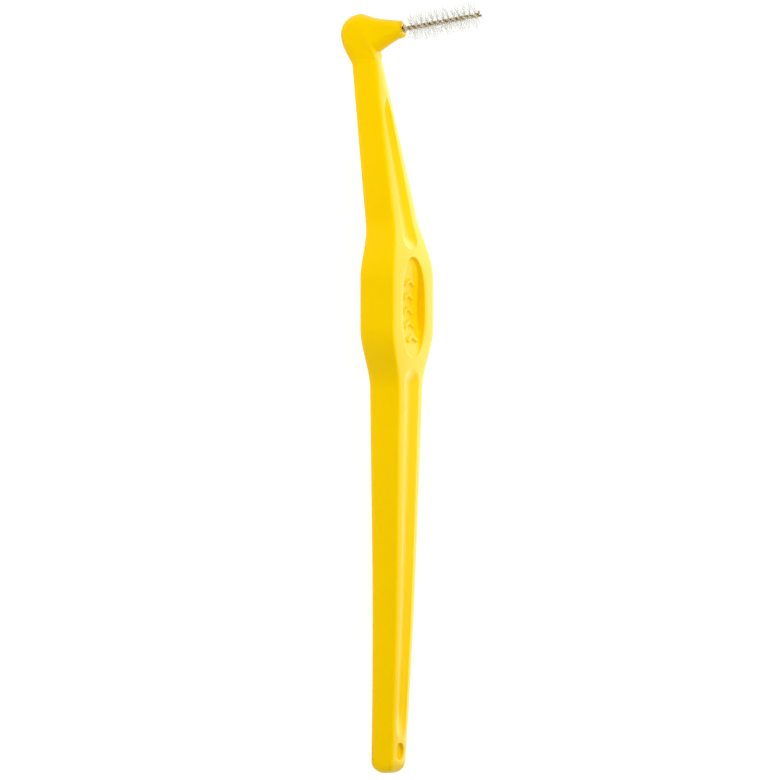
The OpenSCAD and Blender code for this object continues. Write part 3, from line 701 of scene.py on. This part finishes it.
        # The pockets sink the front of the rows up to the end of the neck's groove
        rows = np.searchsorted(self.body_s, self.pockets[-1]["s1"] + self.edge_r)
        fronts = self.front_columns
        s = np.broadcast_to(self.body_s[:rows, None], (rows, fronts)).copy()
        part_y, depth = y[:rows, :fronts].copy(), 0
        for pocket in self.pockets:
            s, part_y, sunk = self.pocket_place(pocket, s, part_y)
            depth = depth + sunk
        level = self.thickness(s) - self.inset(s) - depth
        plane[:rows, :fronts] = self.back(s) + level[..., None] * self.outward(s)
        y[:rows, :fronts] = part_y
        body = (1 - soft(self.head_t))[:, None]
        across, up = y / front_half[:, None], z / half_t[:, None]
        crown = self.front_crown * (1 / 3 - across ** 2) * soft(up)
        plane = plane + (crown * body)[..., None] * direction[:, None, :]
        y = y * (1 + body * self.side_crown / back_half[:, None] * (0.5 - up ** 2))
        right = np.stack([plane[..., 0], y, plane[..., 1]], axis=-1)
        left = right[:, -2:0:-1] * [1, -1, 1]
        return np.concatenate([right, left], axis=1)


def handle_mesh(form, rest):
    """The skin's grid, with its first ring closed over the tail and its last over the hole's end."""
    grid = form.points()
    rows, columns = grid.shape[:2]
    tail_middle, hole_end = grid[0].mean(axis=0), grid[-1].mean(axis=0)
    shrunk = np.stack([mix(grid[0], tail_middle, t) for t in (0.75, 0.5, 0.25)])
    grid = np.concatenate([shrunk, grid])
    rows += len(shrunk)
    points = np.concatenate([grid.reshape(-1, 3), [tail_middle, hole_end]])
    whole = rows * columns
    tail = fan_faces(0, columns, whole, backwards=True)
    hole = fan_faces(whole - columns, columns, whole + 1)
    return at_rest(points, rest), grid_faces(rows, columns).tolist() + tail + hole


# The twisted wire

class BrushForm:
    """The twisted pair and its filaments, in the brush's frame: +Z along the wire, +X up the neck."""

    # Turns left bare at the head and at the tip
    tuft_start = 0.4
    bare_tip = 0.05
    # How much the filaments differ: in their slopes at the root, across and along the wire, in their
    # bends in these directions, and in how far they fall short of the brush's radius
    spread_slope = 0.16
    rake_slope = 0.1
    curl_bend = 0.1
    sweep_bend = 0.09
    shortfall = 0.17
    least_reach = 0.45

    def __init__(self, sizes, handle):
        for name in BrushSizes.__annotations__:
            setattr(self, name, getattr(sizes, name))
        self.handle = handle
        self.leg_d = self.wire_d + 2 * self.coat_t
        self.helix_r = (self.leg_d + self.leg_gap) / 2
        # The held part of the twist is a whole number of eighths of a turn
        held = (self.anchor_len - self.leg_d - 2 * self.helix_r) / self.twist_pitch
        self.fold_turns = math.floor(held * 8) / 8
        self.eye_spread = self.coat_t + self.leg_d / 8
        # The share of a turn that each tuft takes
        self.tuft_turns = (self.open_turns - self.bare_tip - self.tuft_start) / self.tuft_count

    def outward(self, turns, side):
        """The direction square to the axis: the cosine and the sine of the turn, started at side."""
        a = 2 * math.pi * turns + side
        return np.stack([np.cos(a), np.sin(a), 0 * a], axis=-1)

    def leg(self, turns, side):
        """A helix: the radius times the outward direction, plus turns times the pitch along the axis.
        The first half turn opens into an eye by the square of a sine."""
        radius = self.helix_r + self.eye_spread * np.sin(math.pi * np.clip(2 * turns, 0, 1)) ** 2
        out = self.outward(turns, side)
        return radius[:, None] * out + np.outer(turns * self.twist_pitch, [0, 0, 1]), out

    def cut_end(self, side, spring, reach):
        """The end of a leg: small steps that bend outwards, by the share of the way to the power 0.7,
        up to its spring angle."""
        place, out = self.leg(np.array([self.open_turns]), side)
        rise, run = self.twist_pitch, 2 * math.pi * self.helix_r
        ahead = np.array([-out[0, 1] * run, out[0, 0] * run, rise]) / math.hypot(rise, run)
        share = np.linspace(0, 1, 9)[1:]
        a = spring * share ** 0.7
        steps = np.cos(a)[:, None] * ahead + np.sin(a)[:, None] * out[0]
        path = place[0] + np.cumsum(steps, axis=0) * reach / len(share)
        return path, np.cos(a)[:, None] * out[0] - np.sin(a)[:, None] * ahead

    def path(self):
        """From the upper cut end, down its leg, round the fold and up the other leg to its cut end."""
        rings_a_turn = 36
        number = int(rings_a_turn * (self.fold_turns + self.open_turns))
        turns = np.linspace(-self.fold_turns, self.open_turns, number)
        upper = self.cut_end(0, self.upper_spring, 2.2 * self.leg_d)
        lower = self.cut_end(math.pi, self.lower_spring, self.leg_d)
        down, up = self.leg(turns[::-1], 0), self.leg(turns, math.pi)
        a = np.radians(np.linspace(0, 180, 16))
        out = self.outward(np.array([-self.fold_turns]), 0)[0]
        turned = np.cos(a)[:, None] * out - np.outer(np.sin(a), [0, 0, 1])
        low = np.array([0, 0, -self.fold_turns * self.twist_pitch - self.leg_d])
        fold = self.helix_r * turned + low
        places = np.concatenate([upper[0][::-1], down[0], fold, up[0], lower[0]])
        sides = np.concatenate([upper[1][::-1], down[1], turned, up[1], lower[1]])
        return places, sides

    def rings(self, radius, corners):
        """Circles of a radius square to the path, started from the outward side."""
        places, sides = self.path()
        ahead = np.gradient(places, axis=0)
        ahead /= np.linalg.norm(ahead, axis=1)[:, None]
        over = np.cross(ahead, sides)
        over /= np.linalg.norm(over, axis=1)[:, None]
        sides = np.cross(over, ahead)
        a = np.linspace(0, 2 * math.pi, corners, endpoint=False)[:, None]
        return places[:, None] + radius * (np.cos(a) * sides[:, None] + np.sin(a) * over[:, None])

    def strands(self, number, random):
        """Filaments of one turn, as points along each.

        Each starts between the legs, runs outwards square to them with a small spread, and
        bends by the square of the share of its length that is covered. Spread and rake are slopes of
        its start across and along the wire, and curl and sweep are its bends in these directions."""
        aside = self.turn_strands
        order = (np.arange(aside) + random.uniform(0.1, 0.9, aside)) / aside
        turns = np.concatenate([self.tuft_start + self.tuft_turns * (number - 1 + order)] * 2)
        side = np.repeat([math.pi / 2, 3 * math.pi / 2], aside)
        many = 2 * aside
        a = 2 * math.pi * turns + side
        spread, rake = random.normal(0, self.spread_slope, many), random.normal(0, self.rake_slope, many)
        short = np.abs(random.normal(0, self.shortfall, many))
        reach = self.brush_d / 2 * np.clip(1 - short, self.least_reach, 1)
        curl, sweep = random.normal(0, self.curl_bend, many), random.normal(0, self.sweep_bend, many)
        share = np.linspace(0, 1, 6)
        b = np.stack([np.cos(a + spread), np.sin(a + spread)], axis=-1)
        o = np.stack([-b[:, 1], b[:, 0]], axis=-1)
        run = reach[:, None] * share
        bent = reach[:, None] * share ** 2
        flat = run[..., None] * b[:, None] + (curl[:, None] * bent)[..., None] * o[:, None]
        size = np.linalg.norm(flat, axis=-1, keepdims=True)
        flat = flat * np.minimum(1, self.brush_d / 2 / np.maximum(size, TINY))
        z = (turns * self.twist_pitch)[:, None] + rake[:, None] * run + sweep[:, None] * bent
        return np.concatenate([flat, z[..., None]], axis=-1)

    def in_handle(self, points):
        """From the brush's frame to the handle's: along the neck, across, and along the wire."""
        up, ahead, root = self.handle.up, self.handle.ahead, self.handle.root
        x = root[0] + points[..., 0] * up[0] + points[..., 2] * ahead[0]
        z = root[1] + points[..., 0] * up[1] + points[..., 2] * ahead[1]
        return np.stack([x, points[..., 1], z], axis=-1)

    def axis(self, rest):
        """A point on the wire's axis where the brush lies, and the axis's direction."""
        start, end = at_rest(self.in_handle(np.array([[0, 0, 0], [0, 0, 1.0]])), rest)
        return start, end - start


def wire_mesh(form, rest, radius, sides):
    """The steel wire: rings on its path, with a middle point on each cut end."""
    rings = form.in_handle(form.rings(radius, sides))
    ends = [rings[0].mean(axis=0), rings[-1].mean(axis=0)]
    points = np.concatenate([rings.reshape(-1, 3), ends])
    whole = len(rings) * sides
    first_cap = fan_faces(0, sides, whole, backwards=True)
    last_cap = fan_faces(whole - sides, sides, whole + 1)
    return at_rest(points, rest), grid_faces(len(rings), sides).tolist() + first_cap + last_cap


def coating_mesh(form, rest, outer, inner, sides):
    """The coating: an outer skin and an inner skin, joined at both cut ends."""
    skin = form.in_handle(form.rings(outer, sides))
    bore = form.in_handle(form.rings(inner, sides))[::-1]
    rings = np.concatenate([skin, bore, skin[:1]])
    faces = grid_faces(len(rings), sides)
    turn_round = 2 * len(skin) * sides
    faces = np.where(faces >= turn_round, faces - turn_round, faces)
    return at_rest(rings[:-1].reshape(-1, 3), rest), faces.tolist()


def strand_mesh(form, rest, paths, diameter, sides):
    """Thin tubes along many paths at once, a little slimmer at the tip, closed at both ends."""
    ahead = np.gradient(paths, axis=1)
    ahead /= np.linalg.norm(ahead, axis=-1, keepdims=True)
    over = np.cross(ahead, np.array([0, 0, 1.0]))
    over /= np.linalg.norm(over, axis=-1, keepdims=True)
    beside = np.cross(over, ahead)
    a = np.linspace(0, 2 * math.pi, sides, endpoint=False)
    taper = np.linspace(1, 0.8, paths.shape[1])[None, :, None, None]
    circle = np.cos(a)[:, None] * beside[:, :, None] + np.sin(a)[:, None] * over[:, :, None]
    points = paths[:, :, None] + diameter / 2 * taper * circle
    many, rings = paths.shape[:2]
    faces = np.concatenate([grid_faces(rings, sides, k * rings * sides) for k in range(many)])
    start = np.arange(many)[:, None] * rings * sides
    roots = start + np.arange(sides)[None, ::-1]
    tips = start + (rings - 1) * sides + np.arange(sides)[None, :]
    points = at_rest(form.in_handle(points), rest)
    return points.reshape(-1, 3), faces.tolist() + roots.tolist() + tips.tolist()


# Materials

def add(tree, kind, values=None, links=None, **settings):
    """Adds a shader node with its settings, the values of its inputs and the outputs that feed them."""
    made = tree.nodes.new("ShaderNode" + kind)
    for name, value in settings.items():
        setattr(made, name, value)
    for name, value in (values or {}).items():
        made.inputs[name].default_value = value
    for name, output in (links or {}).items():
        tree.links.new(output, made.inputs[name])
    return made


def material(name):
    """An empty node material and its tree."""
    made = bpy.data.materials.new(name)
    made.use_nodes = True
    made.node_tree.nodes.clear()
    return made, made.node_tree


def moulded_polypropylene(colours):
    """Moulded polypropylene, satin gloss: light enters a little, so edges glow and shadows stay warm.
    A faint orange peel and a fine grain keep its highlights soft and slightly uneven."""
    made, tree = material("moulded_polypropylene")
    place = add(tree, "TexCoord").outputs["Object"]
    # Slow drifts of pigment, about 9 mm across
    drift = add(tree, "TexNoise", {"Scale": 110.0, "Detail": 2.0}, {"Vector": place})
    tint = add(tree, "Mix", {6: colours.plastic, 7: colours.plastic_deep},
               {0: drift.outputs["Fac"]}, data_type="RGBA")
    # Orange peel of about 1.2 mm and a mould grain of about 0.15 mm
    peel = add(tree, "TexNoise", {"Scale": 800.0, "Detail": 1.0}, {"Vector": place})
    grain = add(tree, "TexNoise", {"Scale": 6500.0, "Detail": 2.0}, {"Vector": place})
    peel_bump = add(tree, "Bump", {"Strength": 0.12, "Distance": 0.04 * MM},
                    {"Height": peel.outputs["Fac"]})
    bump = add(tree, "Bump", {"Strength": 0.1, "Distance": 0.01 * MM},
               {"Height": grain.outputs["Fac"], "Normal": peel_bump.outputs["Normal"]})
    gloss = add(tree, "MapRange", {"To Min": 0.3, "To Max": 0.42}, {"Value": peel.outputs["Fac"]})
    shader = add(tree, "BsdfPrincipled",
                 {"IOR": 1.49, "Subsurface Weight": 0.15, "Subsurface Radius": (1.0, 0.6, 0.15),
                  "Subsurface Scale": 1.2 * MM, "Specular IOR Level": 0.4, "Specular Tint": colours.sheen},
                 {"Base Color": tint.outputs[2], "Roughness": gloss.outputs["Result"],
                  "Normal": bump.outputs["Normal"]})
    add(tree, "OutputMaterial", None, {"Surface": shader.outputs["BSDF"]})
    return made


def from_axis(tree, place, start, ahead):
    """How far a place lies from the line through start along ahead: the length of a cross product."""
    beside = add(tree, "VectorMath", {1: start}, {0: place}, operation="SUBTRACT")
    arm = add(tree, "VectorMath", {1: ahead}, {0: beside.outputs[0]}, operation="CROSS_PRODUCT")
    return add(tree, "VectorMath", None, {0: arm.outputs[0]}, operation="LENGTH").outputs["Value"]


def lacquered_wire(colours, start, ahead):
    """Stainless wire under a thin straw-coloured lacquer: metal glints through a tinted, glossy skin.
    Brown is painted into the groove between the two legs as shade, and into random pools of lacquer on
    their backs.

    The groove is found by the distance from the axis of the twist, through start and along ahead."""
    made, tree = material("lacquered_wire")
    place = add(tree, "TexCoord").outputs["Object"]
    # Pools of lacquer about 0.3 mm across
    pool = add(tree, "TexNoise", {"Scale": 3300.0, "Detail": 2.0}, {"Vector": place})
    # Painted shade: from 0 in the groove between the legs, 0.16 mm from the axis, to 1 on the legs' backs,
    # 0.32 mm from it
    out_of_groove_shade = add(tree, "MapRange", {"From Min": 0.16 * MM, "From Max": 0.32 * MM},
                {"Value": from_axis(tree, place, start, ahead)})
    uneven = add(tree, "MapRange", {"From Min": 0.3, "From Max": 0.6, "To Min": 0.6},
                 {"Value": pool.outputs["Fac"]})
    pale = add(tree, "Math", None, {0: out_of_groove_shade.outputs["Result"], 1: uneven.outputs["Result"]},
               operation="MULTIPLY")
    # The brown goes in as painted shade in the groove between the legs, and as random pools of lacquer on
    # their backs
    tint = add(tree, "Mix", {6: colours.lacquer_dark, 7: colours.lacquer},
               {0: pale.outputs[0]}, data_type="RGBA")
    gloss = add(tree, "MapRange", {"To Min": 0.22, "To Max": 0.4}, {"Value": pool.outputs["Fac"]})
    # Drawing marks of about 0.05 mm
    marks = add(tree, "TexNoise", {"Scale": 20000.0, "Detail": 1.0}, {"Vector": place})
    bump = add(tree, "Bump", {"Strength": 0.15, "Distance": 0.004 * MM},
               {"Height": marks.outputs["Fac"]})
    shader = add(tree, "BsdfPrincipled",
                 {"Metallic": 0.3, "Coat Weight": 0.3, "Coat Roughness": 0.15, "Coat IOR": 1.5},
                 {"Base Color": tint.outputs[2], "Roughness": gloss.outputs["Result"],
                  "Normal": bump.outputs["Normal"]})
    add(tree, "OutputMaterial", None, {"Surface": shader.outputs["BSDF"]})
    return made


def sheared_steel(colours):
    """Stainless steel where the wire was cut: a bright, slightly torn grey face."""
    made, tree = material("sheared_steel")
    place = add(tree, "TexCoord").outputs["Object"]
    # Shear lines about 0.03 mm apart
    lines = add(tree, "TexWave", {"Scale": 5000.0, "Distortion": 3.0}, {"Vector": place})
    gloss = add(tree, "MapRange", {"To Min": 0.25, "To Max": 0.5}, {"Value": lines.outputs["Fac"]})
    bump = add(tree, "Bump", {"Strength": 0.3, "Distance": 0.005 * MM},
               {"Height": lines.outputs["Fac"]})
    shader = add(tree, "BsdfPrincipled", {"Base Color": colours.steel, "Metallic": 1.0},
                 {"Roughness": gloss.outputs["Result"], "Normal": bump.outputs["Normal"]})
    add(tree, "OutputMaterial", None, {"Surface": shader.outputs["BSDF"]})
    return made


def nylon_filament(colours, start, ahead):
    """Drawn nylon monofilament: clear enough to let the background through, with a milky body.
    Its roots, near the axis of the twist through start and along ahead, are straw-coloured and dense,
    and clear up with the distance from it."""
    made, tree = material("nylon_filament")
    place = add(tree, "TexCoord").outputs["Object"]
    # Milky and clear stretches about 0.4 mm long
    cloud = add(tree, "TexNoise", {"Scale": 2500.0, "Detail": 1.0}, {"Vector": place})
    gloss = add(tree, "MapRange", {"To Min": 0.2, "To Max": 0.4}, {"Value": cloud.outputs["Fac"]})
    # From 0 at 0.26 mm from the axis to 1 at 0.45 mm
    root_span = {"From Min": 0.26 * MM, "From Max": 0.45 * MM}
    away = from_axis(tree, place, start, ahead)
    past_roots = add(tree, "MapRange", root_span, {"Value": away})
    dense = add(tree, "MapRange", root_span | {"To Min": 0.95, "To Max": 0.52}, {"Value": away})
    tint = add(tree, "Mix", {6: colours.lacquer, 7: colours.nylon},
               {0: past_roots.outputs["Result"]}, data_type="RGBA")
    shader = add(tree, "BsdfPrincipled", {"IOR": 1.53, "Transmission Weight": 0.3},
                 {"Base Color": tint.outputs[2], "Alpha": dense.outputs["Result"],
                  "Roughness": gloss.outputs["Result"]})
    add(tree, "OutputMaterial", None, {"Surface": shader.outputs["BSDF"]})
    return made


def white_floor(colours):
    """A seamless white light table: it shows as white, keeps a faint shadow of what lies on it, and
    glows softly upwards on the part."""
    made, tree = material("white_floor")
    matt = add(tree, "BsdfDiffuse", {"Color": colours.floor})
    glow = add(tree, "Emission", {"Color": colours.floor, "Strength": 0.25})
    table = add(tree, "AddShader", None, {0: matt.outputs[0], 1: glow.outputs[0]})
    bright = add(tree, "Emission", {"Color": (1, 1, 1, 1), "Strength": 0.95})
    dim = add(tree, "BsdfDiffuse", {"Color": (0.12, 0.12, 0.12, 1)})
    shown = add(tree, "AddShader", None, {0: bright.outputs[0], 1: dim.outputs[0]})
    surface = add(tree, "MixShader", None,
                  {0: clear_sight(tree), 1: table.outputs[0], 2: shown.outputs[0]})
    add(tree, "OutputMaterial", None, {"Surface": surface.outputs[0]})
    return made


def clear_sight(tree):
    """One for rays from the camera, straight or through a clear filament, and zero for all others."""
    path = add(tree, "LightPath")
    return add(tree, "Math", None,
               {0: path.outputs["Is Camera Ray"], 1: path.outputs["Is Transmission Ray"]},
               operation="MAXIMUM").outputs[0]


# Operators

class BRUSH_OT_handle(bpy.types.Operator):
    """Build the one-piece handle with its grooves, recess, dimple and the hole for the wire"""
    bl_idname = "brush.handle"
    bl_label = "Handle"

    def execute(self, context):
        scene = context.scene
        form = HandleForm(scene.handle_sizes, scene.brush_sizes)
        points, faces = handle_mesh(form, scene.rest_sizes)
        piece("handle_moulding", points, faces, moulded_polypropylene(scene.brush_colours),
              ["handle"])
        return {"FINISHED"}


class BRUSH_OT_wire(bpy.types.Operator):
    """Build the folded, twisted steel wire and its lacquer coating"""
    bl_idname = "brush.wire"
    bl_label = "Twisted wire"

    def execute(self, context):
        scene = context.scene
        form = BrushForm(scene.brush_sizes, HandleForm(scene.handle_sizes, scene.brush_sizes))
        sides = 14
        points, faces = wire_mesh(form, scene.rest_sizes, form.wire_d / 2, sides)
        piece("steel_core", points, faces, sheared_steel(scene.brush_colours), ["wire"])
        points, faces = coating_mesh(form, scene.rest_sizes, form.leg_d / 2, form.wire_d / 2, sides)
        lacquer = lacquered_wire(scene.brush_colours, *form.axis(scene.rest_sizes))
        piece("wire_skin", points, faces, lacquer, ["wire_coating"])
        return {"FINISHED"}


class BRUSH_OT_filaments(bpy.types.Operator):
    """Build the nylon filaments, one piece for each turn of the twist"""
    bl_idname = "brush.filaments"
    bl_label = "Filaments"

    def execute(self, context):
        scene = context.scene
        form = BrushForm(scene.brush_sizes, HandleForm(scene.handle_sizes, scene.brush_sizes))
        nylon = nylon_filament(scene.brush_colours, *form.axis(scene.rest_sizes))
        for number in range(1, form.tuft_count + 1):
            paths = form.strands(number, np.random.default_rng(number))
            points, faces = strand_mesh(form, scene.rest_sizes, paths, form.filament_d, sides=5)
            piece(f"filaments_{number}", points, faces, nylon, [f"tuft_{number}"])
        return {"FINISHED"}


class BRUSH_OT_stage(bpy.types.Operator):
    """Lay the white floor and set the lamps, the world and the camera"""
    bl_idname = "brush.stage"
    bl_label = "Stage"

    def execute(self, context):
        scene = context.scene
        half = FLOOR_HALF
        corners = [(-half, -half, 0), (half, -half, 0), (half, half, 0), (-half, half, 0)]
        mesh = bpy.data.meshes.new("floor")
        mesh.from_pydata(corners, [], [(0, 1, 2, 3)])
        mesh.materials.append(white_floor(scene.brush_colours))
        floor = bpy.data.objects.new("floor", mesh)
        scene.collection.objects.link(floor)
        self.add_camera(scene)
        for lamp in LAMPS:
            self.add_lamp(scene, *lamp)
        self.set_world(scene)
        scene.view_settings.view_transform = "Standard"
        return {"FINISHED"}

    def add_lamp(self, scene, name, place, wide, tall, power):
        """A soft rectangle of light that faces the middle of the brush."""
        data = bpy.data.lights.new(name, "AREA")
        data.shape, data.size, data.size_y, data.energy = "RECTANGLE", wide, tall, power
        lamp = bpy.data.objects.new(name, data)
        lamp.location = place
        lamp.rotation_mode = "QUATERNION"
        lamp.rotation_quaternion = Vector(place).to_track_quat("Z", "Y")
        lamp.visible_camera = False
        scene.collection.objects.link(lamp)

    def add_camera(self, scene):
        """Looks across the handle from a little above its side, with the head at the top of the image."""
        right = np.array([0, -math.sin(CAMERA_RAISED), math.cos(CAMERA_RAISED)])
        up = np.array([1.0, 0, 0])
        back = np.cross(right, up)
        data = bpy.data.cameras.new("camera")
        data.lens = CAMERA_LENS
        distance = IMAGE_PIXELS / PIXELS_PER_MM * MM * data.lens / data.sensor_width
        data.clip_start, data.clip_end = distance / 100, distance * 10
        spots = at_rest(np.array([right, up, back, 0 * up]), scene.rest_sizes)
        axes = spots[:3] - spots[3]
        matrix = np.eye(4)
        matrix[:3, :3] = axes.T
        matrix[:3, 3] = at_rest(CAMERA_TARGET, scene.rest_sizes) + distance * axes[2]
        camera = bpy.data.objects.new("camera", data)
        camera.matrix_world = Matrix(matrix.tolist())
        scene.collection.objects.link(camera)
        scene.camera = camera

    def set_world(self, scene):
        """White to the camera, and a plain even light on everything else."""
        world = bpy.data.worlds.new("studio")
        world.use_nodes = True
        tree = world.node_tree
        tree.nodes.clear()
        light = add(tree, "Background", {"Color": (1, 1, 1, 1), "Strength": 0.46})
        white = add(tree, "Background", {"Color": (1, 1, 1, 1), "Strength": 1.0})
        both = add(tree, "MixShader", None,
                   {0: clear_sight(tree), 1: light.outputs[0], 2: white.outputs[0]})
        add(tree, "OutputWorld", None, {"Surface": both.outputs[0]})
        scene.world = world


class BRUSH_PT_panel(bpy.types.Panel):
    """Lists the steps that build the brush"""
    bl_label = "Interdental brush"
    bl_idname = "BRUSH_PT_panel"
    bl_space_type = "VIEW_3D"
    bl_region_type = "UI"
    bl_category = "Brush"

    def draw(self, context):
        for step in STEPS:
            self.layout.operator(step.bl_idname)


STEPS = (BRUSH_OT_handle, BRUSH_OT_wire, BRUSH_OT_filaments, BRUSH_OT_stage)
GROUPS = {"handle_sizes": HandleSizes, "brush_sizes": BrushSizes, "rest_sizes": RestSizes,
          "brush_colours": BrushColours}


def register():
    """Registers the classes, and gives every scene the sizes and the colours."""
    for made in (*GROUPS.values(), *STEPS, BRUSH_PT_panel):
        bpy.utils.register_class(made)
    for name, group in GROUPS.items():
        setattr(bpy.types.Scene, name, bpy.props.PointerProperty(type=group))


def unregister():
    """Takes the sizes and the colours off again, and the classes with them."""
    for name in GROUPS:
        delattr(bpy.types.Scene, name)
    for made in (BRUSH_PT_panel, *STEPS, *GROUPS.values()):
        bpy.utils.unregister_class(made)


def main():
    register()
    bpy.ops.brush.handle()
    bpy.ops.brush.wire()
    bpy.ops.brush.filaments()
    bpy.ops.brush.stage()


if __name__ == "__main__":
    main()
